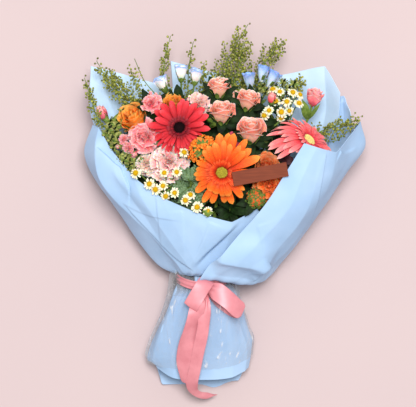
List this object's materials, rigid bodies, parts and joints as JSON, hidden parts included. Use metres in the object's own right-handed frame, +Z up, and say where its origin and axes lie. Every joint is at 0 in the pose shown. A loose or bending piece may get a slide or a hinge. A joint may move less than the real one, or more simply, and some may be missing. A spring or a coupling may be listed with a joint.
{
  "type": "mixed flower bouquet",
  "caption": "Mixed bouquet of gerberas, roses, carnations, camomile and greenery, wrapped in pale blue paper and cellophane, tied with a satin ribbon, lying on its back.",
  "frame": {"origin": "on the surface the bouquet lies on, under the middle of its box", "axes": "+Y from the cut stems to the blooms, +Z up from the surface, +X across the bouquet"},
  "size_m": [0.4203, 0.5614, 0.1735],
  "materials": {
    "petal_crimson": "matte",
    "petal_orange": "matte",
    "petal_coral": "matte",
    "petal_peach": "matte",
    "petal_pink": "matte",
    "petal_variegated": "matte",
    "petal_cream": "matte",
    "petal_wine": "matte",
    "petal_flame": "matte",
    "petal_white": "matte",
    "petal_tinted": "matte",
    "greenery": "matte",
    "dark_leaf": "matte",
    "burgundy_leaf": "matte",
    "pale_leaf": "matte",
    "wrapping_paper": "matte",
    "film": "gloss",
    "satin": "satin",
    "tie_cord": "matte",
    "tag_board": "matte"
  },
  "bodies": {
    "root": {"binding_tie": "tie_cord", "burgundy_foliage": "burgundy_leaf", "butterfly_weed_green": "greenery", "butterfly_weed_orange": "petal_flame", "camomile_spray_centre": "petal_white", "camomile_spray_left": "petal_white", "camomile_spray_right": "petal_white", "carnation_blush": "petal_cream", "carnation_coral_large": "petal_pink", "carnation_coral_small": "petal_pink", "carnation_cream": "petal_cream", "carnation_orange": "petal_flame", "carnation_pink_small": "petal_pink", "carnation_variegated": "petal_variegated", "carnation_wine": "petal_wine", "cellophane": "film", "coral_bud": "petal_peach", "dark_foliage": "dark_leaf", "gerbera_coral": "petal_coral", "gerbera_orange": "petal_orange", "gerbera_red": "petal_crimson", "grass_stem_centre": "greenery", "grass_stem_left": "greenery", "pale_foliage": "pale_leaf", "paper_back_centre": "wrapping_paper", "paper_back_left": "wrapping_paper", "paper_back_right": "wrapping_paper", "paper_front_left": "wrapping_paper", "paper_front_right": "wrapping_paper", "paper_side_right": "wrapping_paper", "paper_skirt": "wrapping_paper", "pink_bud_left": "petal_pink", "pink_bud_right": "petal_pink", "place_tag": "tag_board", "pod_sprig_centre": "greenery", "pod_sprig_far_left": "greenery", "pod_sprig_far_right": "greenery", "pod_sprig_left": "greenery", "pod_sprig_left_inner": "greenery", "pod_sprig_right": "greenery", "pod_sprig_right_inner": "greenery", "pod_sprig_slender": "greenery", "pod_sprig_tall_centre": "greenery", "pod_sprig_tall_left": "greenery", "ranunculus_left": "petal_flame", "ranunculus_right": "petal_flame", "ranunculus_top": "petal_flame", "satin_ribbon": "satin", "spray_rose_bud": "petal_peach", "spray_rose_front": "petal_peach", "spray_rose_left": "petal_peach", "spray_rose_right": "petal_peach", "spray_rose_top": "petal_peach", "tinted_spray_left": "petal_tinted", "tinted_spray_right": "petal_tinted"}
  },
  "joints": []
}
